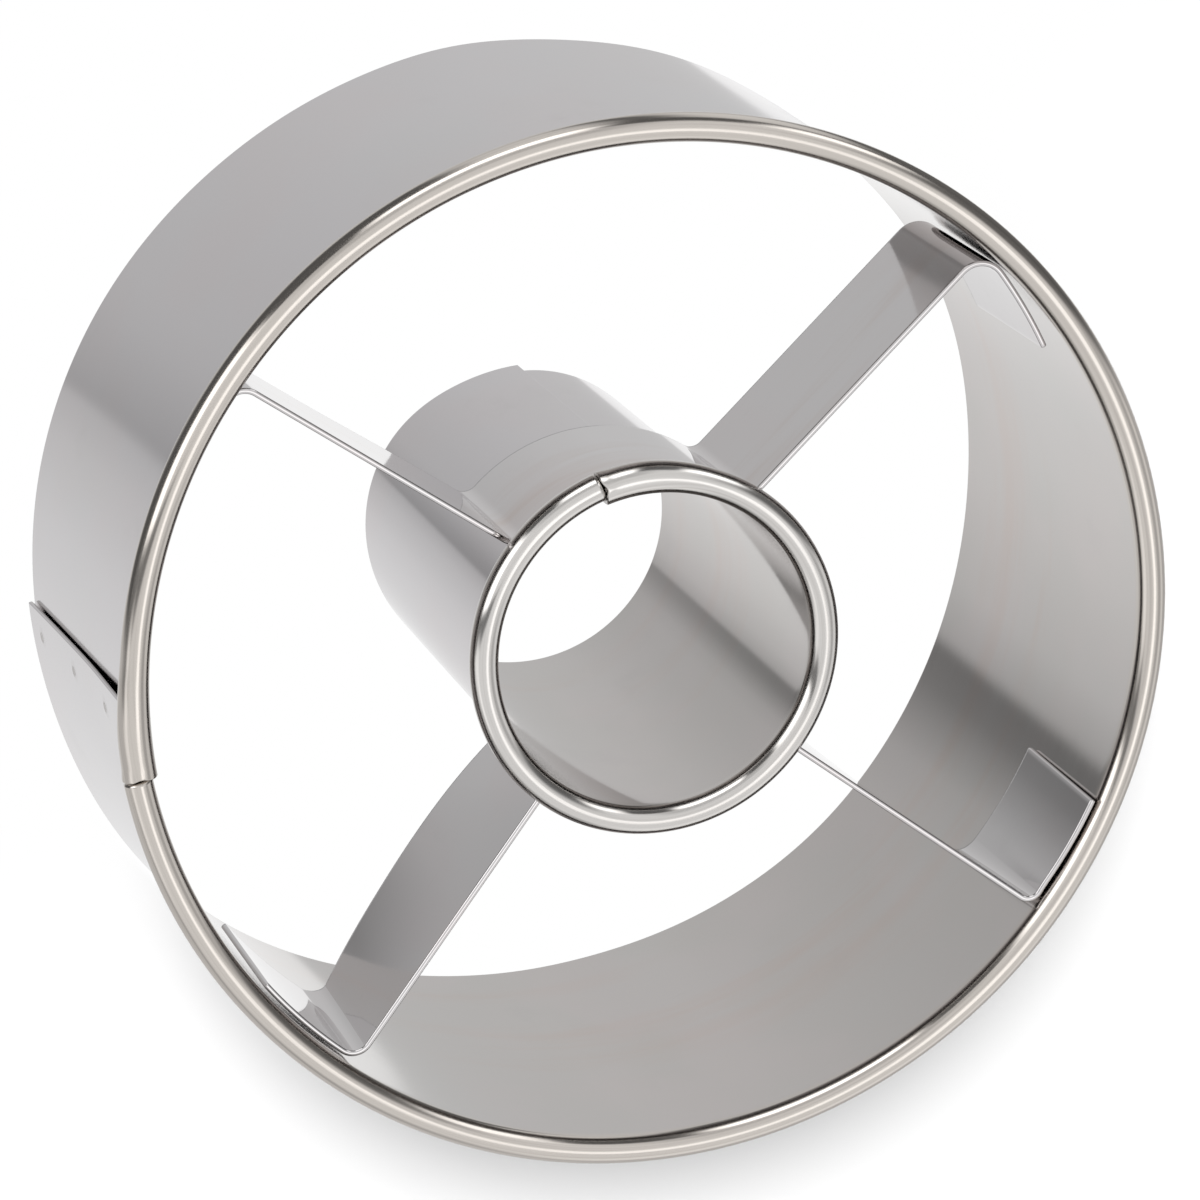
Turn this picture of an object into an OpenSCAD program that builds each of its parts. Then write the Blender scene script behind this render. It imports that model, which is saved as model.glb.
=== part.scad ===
// Doughnut cutter in stainless sheet: an outer ring and a centre tube, each a rolled strip with a lapped
// seam and a rim curled outward, held one inside the other by two bent straps that are spot welded to both.
// The cutting edges lie on Z = 0, +Z points up to the curled rims, and Z is the shared axis.

/* [Overall] */
// Height from the cutting edge to the top of the curled rims
height = 44.4; // [36:0.2:60]
// Thickness of the sheet that the ring and the tube are rolled from
sheet_t = 0.4; // [0.3:0.05:0.5]
// Outside diameter of the hollow bead that each rim is curled into
bead_d = 2.5; // [2.4:0.1:3.2]

/* [Outer ring] */
// Outside diameter of the ring's wall, the size of the doughnut that it cuts
ring_d = 88.9; // [76:0.1:110]
// Length by which the ends of the ring's strip overlap
ring_lap = 5; // [4:0.5:9]
// Direction of the outer edge of the ring's seam
ring_seam = 175.3; // [150:0.1:200]
// Turn over which the outer end of the ring's strip lifts off the circle before the overlap
ring_lead = 45; // [30:1:60]

/* [Centre tube] */
// Outside diameter of the tube's wall, the size of the hole that it cuts
tube_d = 28.6; // [22:0.1:36]
// Length by which the ends of the tube's strip overlap
tube_lap = 5; // [4:0.5:7]
// Turn from the middle of the upper strap to the outer edge of the tube's seam
tube_seam_turn = -7; // [-14:0.5:0]
// Turn over which the outer end of the tube's strip lifts off the circle before the overlap
tube_lead = 90; // [60:1:100]

/* [Straps] */
// Width of the straps, measured along the axis
strap_w = 16; // [10:0.5:22]
// Thickness of the straps
strap_t = 0.5; // [0.4:0.05:0.8]
// Drop from the top of the rims to the straps' upper edges
strap_drop = 3.2; // [2.8:0.1:8]
// Direction of the middle of the upper strap
upper_mid = 88; // [80:1:100]
// Angle between the upper strap's two spokes
upper_spread = 102; // [88:1:106]
// Distance of the upper strap's spokes from the axis, towards the strap's middle
upper_offset = 1.9; // [0:0.1:3]
// Direction of the middle of the lower strap
lower_mid = 271; // [262:1:280]
// Angle between the lower strap's two spokes
lower_spread = 90; // [80:1:96]
// Distance of the lower strap's spokes from the axis, towards the strap's middle
lower_offset = 0.2; // [0:0.1:2]
// Length of the tabs that lie on the ring's wall
tab_l = 9.5; // [7:0.5:14]
// Radius of the bend between spoke and tab, at the middle of the strap's thickness
tab_bend_r = 1.8; // [1:0.1:3]
// Radius of the bend between spoke and tube, at the middle of the strap's thickness
tube_bend_r = 1.5; // [1:0.1:3]

/* [Spot welds] */
// Diameter of a weld
weld_d = 1.6; // [1.2:0.1:2.4]
// Number of welds along the ring's seam, and along the tube's
seam_welds = 3; // [2:1:4]
// Distance between the welds of a seam
weld_pitch = 12.5; // [8:0.5:13]
// Height of a seam's first weld above the cutting edge
first_weld = 4; // [3:0.5:6]
// Depth of the dimple that the electrode leaves over a weld
dimple_depth = 0.08; // [0.04:0.01:0.12]

/* [Clearances] */
// Gap between the two layers of a seam where the overlap starts, and between a curl's end and the wall
seam_gap = 0.05; // [0.02:0.01:0.1]
// Gap between a strap and the wall that it is welded to
seat_gap = 0.05; // [0.02:0.01:0.1]
// Gap between the end of a seam's sleeve and the bead that comes out of it
sleeve_gap = 0.15; // [0.1:0.05:0.3]

/* [Hidden] */
$fn = 180;
bead_fn = 48;
weld_fn = 32;
// Flats along the strap's wrap, each of its bends and each of its tabs
wrap_steps = 32;
bend_steps = 14;
tab_steps = 6;

ring_ri = ring_d / 2 - sheet_t;
tube_ri = tube_d / 2 - sheet_t;
bead_r = bead_d / 2;
rim_z = height - bead_r;
// Where the strip's ends overlap, one end's curl is a sleeve round the other's. It is wider than the bead by
// half a sheet.
sleeve_r = bead_r + sheet_t / 2;
// Step from the inner layer of a seam to the outer one, where the overlap starts
seam_step = sheet_t + seam_gap;
// The sleeve starts this far before the seam's outer edge
sleeve_start = 1;
// Place of a tab's weld, as a share of the way from its bend to its end
tab_weld_at = 0.55;
tube_seam = upper_mid + tube_seam_turn;
tube_seam_lift = lift_at(tube_ri, lift_shift(tube_ri, tube_lead), seam_turn(tube_ri, tube_lap, tube_lead));
// Lift of the tube's outer layer under the middle of the upper strap, where the two are welded
upper_weld_lift = lift_at(tube_ri, lift_shift(tube_ri, tube_lead),
    seam_turn(tube_ri, tube_lap, tube_lead) + tube_seam_turn);
strap_z = height - strap_drop - strap_w;
dimple_r = weld_d * weld_d / (8 * dimple_depth) + dimple_depth / 2;

function unit(a) = [cos(a), sin(a)];
// Lengths and angles where two stretches of a strip meet are rounded, so that the faces match exactly
function hundredths(x) = round(100 * x) / 100;
function arc_angle(length, r) = hundredths(length / r * 180 / PI);

// A strip's outer end leaves the circle of radius r along a wider arc that is tangent to it. The arc's centre
// lies the shift behind the circle's, so that after the turn lead the strip is a seam step off the circle.
function lift_shift(r, lead) =
    ceil(50 * seam_step * (2 * r + seam_step) / (r - (r + seam_step) * cos(lead))) / 100;
// Distance from the circle after a turn about the circle's centre
function lift_at(r, shift, turn) =
    sqrt(pow(r + shift, 2) - pow(shift * sin(turn), 2)) - shift * cos(turn) - r;
// The same turn as seen from the wider arc's own centre
function own_turn(r, shift, turn) =
    let (p = (r + lift_at(r, shift, turn)) * unit(turn)) hundredths(atan2(p.y, p.x + shift));
// Turn from where the strip leaves the circle to its end
function seam_turn(r, lap, lead) = lead + arc_angle(lap, r);

// The strip seen end on: a wall that stands on the cutting edge, with its top curled outward. The curl stops
// short of the layers that lie outside the strip's inner face, which are stack thick together.
module strip_profile(r_in, curl_r, stack) {
    stop = acos(1 - (stack + seam_gap) / curl_r);
    translate([r_in, 0]) square([sheet_t, rim_z]);
    translate([r_in + curl_r, rim_z]) difference() {
        circle(r = curl_r, $fn = bead_fn);
        circle(r = curl_r - sheet_t, $fn = bead_fn);
        polygon([[0, 0], for (a = [180, 180 + stop / 2, 180 + stop]) 2 * curl_r * unit(a)]);
    }
}

// One stretch of the strip, bent to an arc from direction a to direction b
module strip_arc(a, b, r_in, curl_r, stack) {
    rotate_extrude(angle = b - a, start = a) strip_profile(r_in, curl_r, stack);
}

// A weld through layers that lie between the radii r_in and r_out, at direction a and height z
module weld_nugget(a, z, r_in, r_out) {
    rotate([0, 90, a]) translate([-z, 0, r_in]) cylinder(d = weld_d, h = r_out - r_in, $fn = weld_fn);
}

// The round hollow that the electrode leaves, outside or inside a wall whose face is at radius r
module dimple(a, z, r, side) {
    rotate(a) translate([r + side * (dimple_r - dimple_depth), 0, z]) sphere(r = dimple_r, $fn = 96);
}

// A strip rolled into a band whose ends overlap. Seen from above, its outer end comes clockwise round the
// circle, leaves it at +X of the turned frame below, and ends at the seam. Its inner end stays on the circle
// and runs on under the outer one, whose curl lies inside its own.
module rolled_band(r_in, lap, seam, lead) {
    turn = seam_turn(r_in, lap, lead);
    shift = lift_shift(r_in, lead);
    end_lift = lift_at(r_in, shift, turn);
    joint = own_turn(r_in, shift, lead);
    sleeve_from = 360 - turn - arc_angle(sleeve_start, r_in);
    sleeve_to = 360 - lead - arc_angle(sleeve_gap, r_in);
    tucked_r = sleeve_r - (sheet_t + seam_gap + end_lift) / 2;
    weld_turn = lead + arc_angle(lap, r_in) / 2;
    weld_lift = lift_at(r_in, shift, weld_turn);
    rotate(seam + turn) difference() {
        union() {
            strip_arc(0, sleeve_from, r_in, bead_r, sheet_t);
            strip_arc(sleeve_from, sleeve_to, r_in, sleeve_r, end_lift + sheet_t);
            translate([-shift, 0, 0]) {
                strip_arc(-joint, 0, r_in + shift, bead_r, sheet_t);
                strip_arc(-own_turn(r_in, shift, turn), -joint, r_in + shift, tucked_r, sheet_t);
            }
            for (i = [0:seam_welds - 1])
                weld_nugget(-weld_turn, first_weld + i * weld_pitch, r_in + sheet_t / 2,
                    r_in + weld_lift + sheet_t / 2);
        }
        for (i = [0:seam_welds - 1])
            dimple(-weld_turn, first_weld + i * weld_pitch, r_in + weld_lift + sheet_t, 1);
    }
}

// Points along an arc about centre from direction a to direction b in steps, without its first point
function arc_points(centre, r, a, b, steps) =
    [for (i = [1:steps]) centre + r * unit(a + (b - a) * i / steps)];
function flip(points) = [for (p = points) [p.x, -p.y]];
function backward(points) = [for (i = [len(points) - 1:-1:0]) points[i]];

// A strap with its middle on +X: it wraps the tube, turns outward into two straight spokes, and turns again
// into tabs that follow the ring's wall. Every bend is tangent to what it joins. The wrap clears the radius
// seat_r, and its weld starts at the radius weld_from.
module strap(spread, spoke_offset, seat_r, weld_from) {
    half = spread / 2;
    along = unit(half);
    away = unit(half + 90);
    wrap_r = seat_r + seat_gap + strap_t / 2;
    tab_r = ring_ri - seat_gap - strap_t / 2;
    // Bend at the tube: it touches the wrap from outside
    in_off = spoke_offset + tube_bend_r;
    in_c = sqrt(pow(wrap_r + tube_bend_r, 2) - in_off * in_off) * along - in_off * away;
    in_a = atan2(in_c.y, in_c.x);
    // Bend at the ring: it touches the tab's arc from inside
    out_off = tab_bend_r - spoke_offset;
    out_c = sqrt(pow(tab_r - tab_bend_r, 2) - out_off * out_off) * along + out_off * away;
    out_a = atan2(out_c.y, out_c.x);
    end_a = out_a + arc_angle(tab_l, tab_r);
    // One face of a spoke and its bends, at the distance d from the middle of the strap's thickness
    function spoke(d) = concat(
        [in_c + (tube_bend_r + d) * unit(in_a + 180)],
        arc_points(in_c, tube_bend_r + d, in_a + 180, half + 90, bend_steps),
        [out_c + (tab_bend_r - d) * unit(half - 90)],
        arc_points(out_c, tab_bend_r - d, half - 90, out_a, bend_steps),
        arc_points([0, 0], tab_r - d, out_a, end_a, tab_steps));
    // One face of the whole strap. The wrap's last point is the second spoke's first.
    function face(d) = concat(
        backward(flip(spoke(d))),
        arc_points([0, 0], wrap_r - d, -in_a, in_a - 2 * in_a / wrap_steps, wrap_steps - 1),
        spoke(d));
    weld_a = out_a + (end_a - out_a) * tab_weld_at;
    weld_z = strap_w / 2;
    difference() {
        union() {
            linear_extrude(strap_w) polygon(concat(face(strap_t / 2), backward(face(-strap_t / 2))));
            weld_nugget(0, weld_z, weld_from, wrap_r);
            for (m = [0, 1]) mirror([0, m, 0])
                weld_nugget(weld_a, weld_z, tab_r, sqrt(ring_ri * ring_ri - weld_d * weld_d / 4));
        }
        dimple(0, weld_z, wrap_r + strap_t / 2, 1);
        for (m = [0, 1]) mirror([0, m, 0]) dimple(weld_a, weld_z, tab_r - strap_t / 2, -1);
    }
}

module outer_ring() {
    color("gainsboro") rolled_band(ring_ri, ring_lap, ring_seam, ring_lead);
}

module centre_tube() {
    color("lightgray") rolled_band(tube_ri, tube_lap, tube_seam, tube_lead);
}

// The upper strap bridges the tube's seam, so it clears the end of the outer layer
module upper_strap() {
    color("silver") translate([0, 0, strap_z]) rotate(upper_mid)
        strap(upper_spread, upper_offset, tube_d / 2 + tube_seam_lift, tube_d / 2 + upper_weld_lift);
}

module lower_strap() {
    color("silver") translate([0, 0, strap_z]) rotate(lower_mid)
        strap(lower_spread, lower_offset, tube_d / 2, tube_d / 2);
}

outer_ring();
centre_tube();
upper_strap();
lower_strap();
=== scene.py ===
"""A doughnut cutter in stainless sheet: two rolled bands joined by two bent straps, in a white studio."""

import math

import bpy
import numpy as np
from mathutils import Matrix, Vector


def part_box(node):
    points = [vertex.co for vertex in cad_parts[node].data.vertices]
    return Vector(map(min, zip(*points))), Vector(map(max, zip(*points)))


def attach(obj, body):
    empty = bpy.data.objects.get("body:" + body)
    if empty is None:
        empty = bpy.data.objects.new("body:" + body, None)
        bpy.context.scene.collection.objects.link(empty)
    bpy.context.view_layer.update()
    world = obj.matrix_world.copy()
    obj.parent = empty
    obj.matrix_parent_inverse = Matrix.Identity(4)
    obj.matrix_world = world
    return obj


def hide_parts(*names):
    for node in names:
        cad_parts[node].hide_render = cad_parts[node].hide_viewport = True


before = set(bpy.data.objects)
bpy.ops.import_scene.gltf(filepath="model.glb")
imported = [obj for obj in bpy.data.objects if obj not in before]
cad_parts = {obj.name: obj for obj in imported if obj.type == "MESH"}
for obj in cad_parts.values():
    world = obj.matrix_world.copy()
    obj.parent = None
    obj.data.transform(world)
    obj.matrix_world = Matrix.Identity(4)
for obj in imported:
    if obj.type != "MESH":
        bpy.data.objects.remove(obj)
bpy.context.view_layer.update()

bl_info = {
    "name": "Doughnut cutter",
    "version": (1, 0, 0),
    "blender": (4, 5, 0),
    "location": "3D View > Sidebar > Cutter",
    "description": "Makes a sheet steel doughnut cutter and the studio that shows it",
    "category": "Add Mesh",
}

MM = 0.001
STRAP_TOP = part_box("upper_strap")[1].z
STRAP_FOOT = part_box("upper_strap")[0].z
WHITE = (1.0, 1.0, 1.0, 1.0)
# Turns from a flat face round half of a cut edge
ROUND = np.radians([15, 45, 75])
# Next to a sweep's ends and marks: the distance of the nearest row, how it grows, and the least that is kept
FINEST, GROWTH, LEAST = 0.05 * MM, 1.35, 0.03 * MM
# Steps round a rim's curl
CURL_STEPS = 42
# Places up a strap, from 0 at its foot to 1 at its top, closer together at the edges
STRAP_ROWS = np.concatenate([[0, 0.15, 0.5], np.linspace(1.3, 14.7, 10), [15.5, 15.85, 16]]) / 16
# Steps along the parts of half a strap: round the tube, out of it, the spoke, the tab's bend and the tab
STRAP_STEPS = (40, 20, 24, 20, 20)
# Sides of the round floor and backdrop
STAGE_SIDES = 36


def length(name, description, mm):
    """A length in the scene's unit, from millimetres."""
    return bpy.props.FloatProperty(
        name=name, description=description, default=mm * MM, unit="LENGTH", subtype="DISTANCE", precision=5)


def angle(name, description, degrees):
    """An angle, from degrees."""
    return bpy.props.FloatProperty(
        name=name, description=description, default=math.radians(degrees), unit="ROTATION", subtype="ANGLE")


def number(name, description, value):
    """A plain number."""
    return bpy.props.FloatProperty(name=name, description=description, default=value)


def share(name, description, value):
    """A number from 0 to 1."""
    return bpy.props.FloatProperty(
        name=name, description=description, default=value, min=0.0, max=1.0, subtype="FACTOR")


def colour(name, description, value):
    """A linear colour."""
    return bpy.props.FloatVectorProperty(
        name=name, description=description, default=value, min=0.0, max=1.0, size=3, subtype="COLOR")


def spot(name, description, mm):
    """A point, from millimetres."""
    place = [v * MM for v in mm]
    return bpy.props.FloatVectorProperty(
        name=name, description=description, default=place, size=3, unit="LENGTH", subtype="XYZ")


def heading(name, description, value):
    """A unit vector."""
    return bpy.props.FloatVectorProperty(
        name=name, description=description, default=value, size=3, subtype="DIRECTION")


class SheetSizes(bpy.types.PropertyGroup):
    """The sheet that both bands are rolled from, and the seams that close them."""

    height: length("Height", "From the cutting edge to the top of the curled rims", 44.4)
    thick: length("Sheet thickness", "Thickness of the bands' sheet", 0.4)
    bead_d: length("Bead diameter", "Outside diameter of the curled rims", 2.5)
    edge: length("Edge round", "Depth of the rounding of the sheet's cut edges", 0.1)
    seam_gap: length("Seam gap", "Gap between a seam's layers where the overlap starts", 0.05)
    sleeve_gap: length("Sleeve gap", "Gap between a sleeve's mouth and the bead that comes out of it", 0.15)
    sleeve_flare: length("Sleeve flare", "Length over which a rim widens into its sleeve", 8.0)
    sleeve_play: length("Sleeve play", "Gap between a sleeve and the curl tucked into it", 0.06)
    weld_d: length("Weld diameter", "Diameter of a spot weld's mark", 1.3)
    weld_count: bpy.props.IntProperty(name="Welds", description="Number of welds along a seam", default=3)
    weld_pitch: length("Weld pitch", "Distance between the welds of a seam", 12.5)
    first_weld: length("First weld", "Height of a seam's lowest weld", 4.0)


class RingSizes(bpy.types.PropertyGroup):
    """The outer band."""

    wall_d: length("Wall diameter", "Outside diameter of the ring's wall", 88.9)
    lap: length("Lap", "Overlap of the strip's ends", 5.0)
    seam: angle("Seam", "Direction of the seam's outer edge at the rim", 175.3)
    lead: angle("Lead", "Turn over which the outer end lifts off the circle", 45.0)
    slant: length("Slant", "How far the seam's outer edge leans back at the cutting edge", 1.8)
    gape: length("Gape", "How far the seam's outer corner stands off under the rim", 0.27)
    nick: length("Nick", "Depth of the nick in the mouth of the rim's sleeve", 0.25)
    row: length("Row step", "Distance between the rows of the mesh along the strip", 0.9)
    uneven: share("Unevenness", "How much the wall strays from its circle towards the cutting edge", 1.0)
    tilt_x: length("Tilt X", "How far the foot stands off the axis along X", 0.0)
    tilt_y: length("Tilt Y", "How far the foot stands off the axis along Y", 0.0)


class TubeSizes(bpy.types.PropertyGroup):
    """The inner band."""

    wall_d: length("Wall diameter", "Outside diameter of the tube's wall", 28.6)
    lap: length("Lap", "Overlap of the strip's ends", 5.0)
    seam: angle("Seam", "Direction of the seam's outer edge", 81.0)
    lead: angle("Lead", "Turn over which the outer end lifts off the circle", 90.0)
    slant: length("Slant", "How far the seam's outer edge leans back at the cutting edge", 0.2)
    gape: length("Gape", "How far the seam's outer corner stands off under the rim", 0.0)
    nick: length("Nick", "Depth of the nick in the mouth of the rim's sleeve", 0.25)
    row: length("Row step", "Distance between the rows of the mesh along the strip", 0.5)
    uneven: share("Unevenness", "How much the wall strays from its circle towards the cutting edge", 1.0)
    tilt_x: length("Tilt X", "How far the foot stands off the axis along X", 0.21)
    tilt_y: length("Tilt Y", "How far the foot stands off the axis along Y", 0.02)


class StrapSizes(bpy.types.PropertyGroup):
    """What the two straps have in common."""

    thick: length("Strap thickness", "Thickness of the straps", 0.5)
    edge: length("Edge round", "Depth of the rounding of the straps' cut edges", 0.12)
    seat_gap: length("Seat gap", "Gap between a strap and the wall that it is welded to", 0.05)
    press: length("Press", "How far the upper strap presses the tube's lap in", 0.25)


class UpperStrap(bpy.types.PropertyGroup):
    """The strap that crosses the tube's seam."""

    middle: angle("Middle", "Direction of the strap's middle", 88.0)
    first: angle("First spoke", "Direction of the spoke before the middle", 36.8)
    last: angle("Last spoke", "Direction of the spoke past the middle", 138.6)
    first_offset: length("First offset", "Distance of the first spoke from the axis", 2.3)
    last_offset: length("Last offset", "Distance of the last spoke from the axis", 1.4)
    first_tube: length("First tube bend", "Radius of the first spoke's bend at the tube", 1.5)
    last_tube: length("Last tube bend", "Radius of the last spoke's bend at the tube", 1.6)
    first_bend: length("First tab bend", "Radius of the first tab's bend", 2.3)
    last_bend: length("Last tab bend", "Radius of the last tab's bend", 1.8)
    first_tab: length("First tab", "Length of the first tab", 8.0)
    last_tab: length("Last tab", "Length of the last tab", 9.5)
    first_spring: angle("First spring", "Turn by which the first tab stands off the wall", 8.0)
    last_spring: angle("Last spring", "Turn by which the last tab stands off the wall", 0.3)
    first_lean: length("First lean", "How far the first spoke's foot stands to its left", 0.0)
    last_lean: length("Last lean", "How far the last spoke's foot stands to its left", 0.3)
    first_rise: length("First rise", "How far the first tab's end is lifted", 0.0)
    last_rise: length("Last rise", "How far the last tab's end is lifted", 0.0)
    first_tip: length("First tip", "How far the first tab's top stands off the wall", 0.0)
    last_tip: length("Last tip", "How far the last tab's top stands off the wall", 0.0)
    first_bow: length("First bow", "How far the first spoke's foot bulges to its left", 0.0)
    last_bow: length("Last bow", "How far the last spoke's foot bulges to its left", 0.0)


class LowerStrap(bpy.types.PropertyGroup):
    """The strap on the tube's plain side."""

    middle: angle("Middle", "Direction of the strap's middle", 271.0)
    first: angle("First spoke", "Direction of the spoke before the middle", 226.0)
    last: angle("Last spoke", "Direction of the spoke past the middle", 315.9)
    first_offset: length("First offset", "Distance of the first spoke from the axis", 0.0)
    last_offset: length("Last offset", "Distance of the last spoke from the axis", 0.5)
    first_tube: length("First tube bend", "Radius of the first spoke's bend at the tube", 1.9)
    last_tube: length("Last tube bend", "Radius of the last spoke's bend at the tube", 1.5)
    first_bend: length("First tab bend", "Radius of the first tab's bend", 1.6)
    last_bend: length("Last tab bend", "Radius of the last tab's bend", 1.3)
    first_tab: length("First tab", "Length of the first tab", 9.5)
    last_tab: length("Last tab", "Length of the last tab", 9.5)
    first_spring: angle("First spring", "Turn by which the first tab stands off the wall", 0.3)
    last_spring: angle("Last spring", "Turn by which the last tab stands off the wall", 0.5)
    first_lean: length("First lean", "How far the first spoke's foot stands to its left", 0.5)
    last_lean: length("Last lean", "How far the last spoke's foot stands to its left", -1.0)
    first_rise: length("First rise", "How far the first tab's end is lifted", 0.0)
    last_rise: length("Last rise", "How far the last tab's end is lifted", 3.1)
    first_tip: length("First tip", "How far the first tab's top stands off the wall", 0.0)
    last_tip: length("Last tip", "How far the last tab's top stands off the wall", 0.25)
    first_bow: length("First bow", "How far the first spoke's foot bulges to its left", -1.05)
    last_bow: length("Last bow", "How far the last spoke's foot bulges to its left", 0.0)


class SteelFinish(bpy.types.PropertyGroup):
    """The rolled stainless finish."""

    outside: colour("Outside", "Colour of the bands' outer faces", (0.625, 0.605, 0.618))
    inside: colour("Inside", "Colour of the bands' inner faces", (0.565, 0.543, 0.528))
    bead: colour("Ring bead", "Colour of the ring's curled rim", (0.640, 0.598, 0.556))
    tube_bead: colour("Tube bead", "Colour of the tube's curled rim", (0.69, 0.67, 0.65))
    drawn: colour("Drawn lines", "Colour of the lines that the curling left on the rims", (0.44, 0.41, 0.385))
    strap: colour("Strap", "Colour of the straps", (0.645, 0.628, 0.632))
    smudge: colour("Smudge", "Colour of faint handling marks", (0.50, 0.48, 0.475))
    # Warm tone in clouds low on the inner faces: a painted warm reflection
    warm_reflection: colour("Tarnish", "Colour of the warm clouds low on the inner faces", (0.575, 0.505, 0.47))
    warm: colour("Warm tint", "Colour of the faint warm patches", (0.64, 0.575, 0.575))
    cool: colour("Cool tint", "Colour of the faint cool mottling", (0.56, 0.585, 0.575))
    weld: colour("Weld", "Colour of the heat tint at the welds", (0.36, 0.33, 0.31))
    # Nearly black colour on the straps' lower edges: painted shade of the gap under each strap; only the
    # added roughness and bump there stand for a burr
    gap_shade_and_burr: colour("Burr", "Colour of the burr on the straps' lower edges", (0.09, 0.085, 0.085))
    roughness: share("Roughness", "Roughness of the bands' walls", 0.085)
    haze: share("Haze", "How much rougher the walls are at the rim than at the cutting edge", 0.03)
    bead_roughness: share("Bead roughness", "Roughness of the curled rims", 0.14)
    strap_roughness: share("Strap roughness", "Roughness of the straps", 0.05)
    grain: number("Grain", "Strength of the drawn lines", 1.1)
    stretch: share("Stretch", "How far the bands' grain stretches reflections across itself", 0.6)
    strap_stretch: share("Strap stretch", "How far the straps' grain stretches reflections", 0.4)


class StudioSettings(bpy.types.PropertyGroup):
    """Camera, floor and light."""

    camera: spot("Camera", "Where the camera stands", (-124.14, 165.28, 502.80))
    forward: heading("Forward", "Where the camera looks", (0.23923, -0.31890, -0.91710))
    upward: heading("Upward", "Up in the picture", (0.20695, 0.93957, -0.27273))
    lens: bpy.props.FloatProperty(name="Lens", description="Focal length", default=177.61, unit="CAMERA")
    floor: length("Floor", "Radius of the round floor", 1500.0)
    floor_tone: share("Floor tone", "Tone of the floor's shadow side", 0.72)
    tent: number("Tent light", "Light of the tent that the steel mirrors", 0.88)
    ground: number("Ground light", "Light off the table and the drop that the steel mirrors", 1.0)
    key: number("Key light", "Strength of the lamp that casts the shadow", 2.4)
    key_from: heading("Key direction", "Where the lamp stands", (-0.215, 0.462, 0.860))
    key_size: angle("Key size", "Angle that the lamp fills", 12.0)


def unit(degrees):
    """Unit vectors at directions in degrees."""
    a = np.radians(degrees)
    return np.stack([np.cos(a), np.sin(a)], axis=-1)


def smooth(x):
    """A step from 0 to 1 with level ends."""
    x = np.clip(x, 0, 1)
    return x * x * (3 - 2 * x)


def hill(x):
    """A hill of height 1 at 0."""
    return np.exp(-x * x)


def normed(v):
    """Vectors brought to length 1."""
    return v / np.linalg.norm(v, axis=-1, keepdims=True)


def graded(total, step, *marks):
    """Places from 0 to total, a step apart, and closer towards both ends and each mark."""
    near = FINEST * GROWTH ** np.arange(18)
    near = near[near < 2 * step]
    places = [np.linspace(0, total, int(total / step) + 1)]
    for mark in (0, total) + marks:
        places += [mark + near, mark - near, [mark]]
    places = np.sort(np.concatenate(places))
    places = places[(places >= 0) & (places <= total)]
    return places[np.concatenate([[True], np.diff(places) > LEAST])]


def sheet(name, middle, normal, uv, thick, edge):
    """A closed mesh for a thin sheet with rounded cut edges, from a grid of points of its middle surface.

    Each face lies at middle +- normal * thick / 2. Past the grid's four edges the faces meet in half an
    ellipse: out along the grid by edge * cos(a), and a half thickness times sin(a). Columns j and n - 1 - j
    of the outline face each other through the sheet, and quads between them close its ends. The face on the
    normal's side has 1 added to its first UV coordinate.
    """
    rounded = len(ROUND)
    grow = edge * np.cos(ROUND)[:, None, None]
    first = middle[0] + normed(middle[0] - middle[1]) * grow
    last = middle[-1] + normed(middle[-1] - middle[-2]) * grow[::-1]
    full = np.concatenate([np.sin(ROUND), np.ones(len(middle)), np.sin(ROUND)[::-1]])[:, None]
    middle = np.concatenate([first, middle, last])
    normal, uv = (np.pad(grid, ((rounded, rounded), (0, 0), (0, 0)), mode="edge") for grid in (normal, uv))

    n = middle.shape[1]
    start, end = np.zeros(rounded, int), np.full(rounded, n - 1)
    column = np.concatenate([start, np.arange(n), end, end, np.arange(n)[::-1], start])
    flat, turn = np.ones(n), ROUND[::-1]
    side = np.concatenate([-np.cos(turn), -flat, -np.sin(turn), np.sin(ROUND), flat, np.cos(ROUND)])
    none = np.zeros(n)
    reach = np.concatenate([-np.sin(turn), none, np.cos(turn), np.cos(ROUND), none, -np.sin(ROUND)]) * edge
    ahead = np.concatenate([middle[:, 1:2] - middle[:, :1], middle[:, 1:] - middle[:, :-1]], axis=1)
    points = middle[:, column] + normal[:, column] * (side * full * thick / 2)[..., None]
    points = points + normed(ahead)[:, column] * (reach * full)[..., None]
    uv = uv[:, column] + np.stack([side > 0, np.zeros(len(side))], axis=-1)
    return skin(name, points, uv)


def skin(name, points, uv):
    """A mesh object over a grid whose rows are closed outlines, with quads that close both its ends too."""
    rows, columns = points.shape[:2]
    index = np.arange(rows * columns).reshape(rows, columns)
    ahead = np.roll(index, -1, axis=1)
    quads = [np.stack([index[:-1], ahead[:-1], ahead[1:], index[1:]], axis=-1).reshape(-1, 4)]
    j = np.arange(columns // 2 - 1)
    for row, order in ((index[0], 1), (index[-1], -1)):
        cap = np.stack([row[j], row[columns - 1 - j], row[columns - 2 - j], row[j + 1]], axis=-1)
        quads.append(cap[:, ::order])
    quads = np.concatenate(quads)
    flat = points.reshape(-1, 3)

    # The volume that the quads enclose is negative when they face inwards
    a, b, c, d = (flat[quads[:, k]] for k in range(4))
    if np.sum(a * np.cross(b, c)) + np.sum(a * np.cross(c, d)) < 0:
        quads = quads[:, ::-1]
    mesh = bpy.data.meshes.new(name)
    mesh.from_pydata(flat.tolist(), [], quads.tolist())
    mesh.polygons.foreach_set("use_smooth", np.ones(len(quads), bool))
    layer = mesh.uv_layers.new(name="Sheet")
    layer.data.foreach_set("uv", uv.reshape(-1, 2)[quads.ravel()].astype(np.float32).ravel())
    if mesh.validate():
        raise RuntimeError(f"{name}: the mesh had faults")
    mesh.update()
    piece = bpy.data.objects.new(name, mesh)
    bpy.context.scene.collection.objects.link(piece)
    return piece


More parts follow.
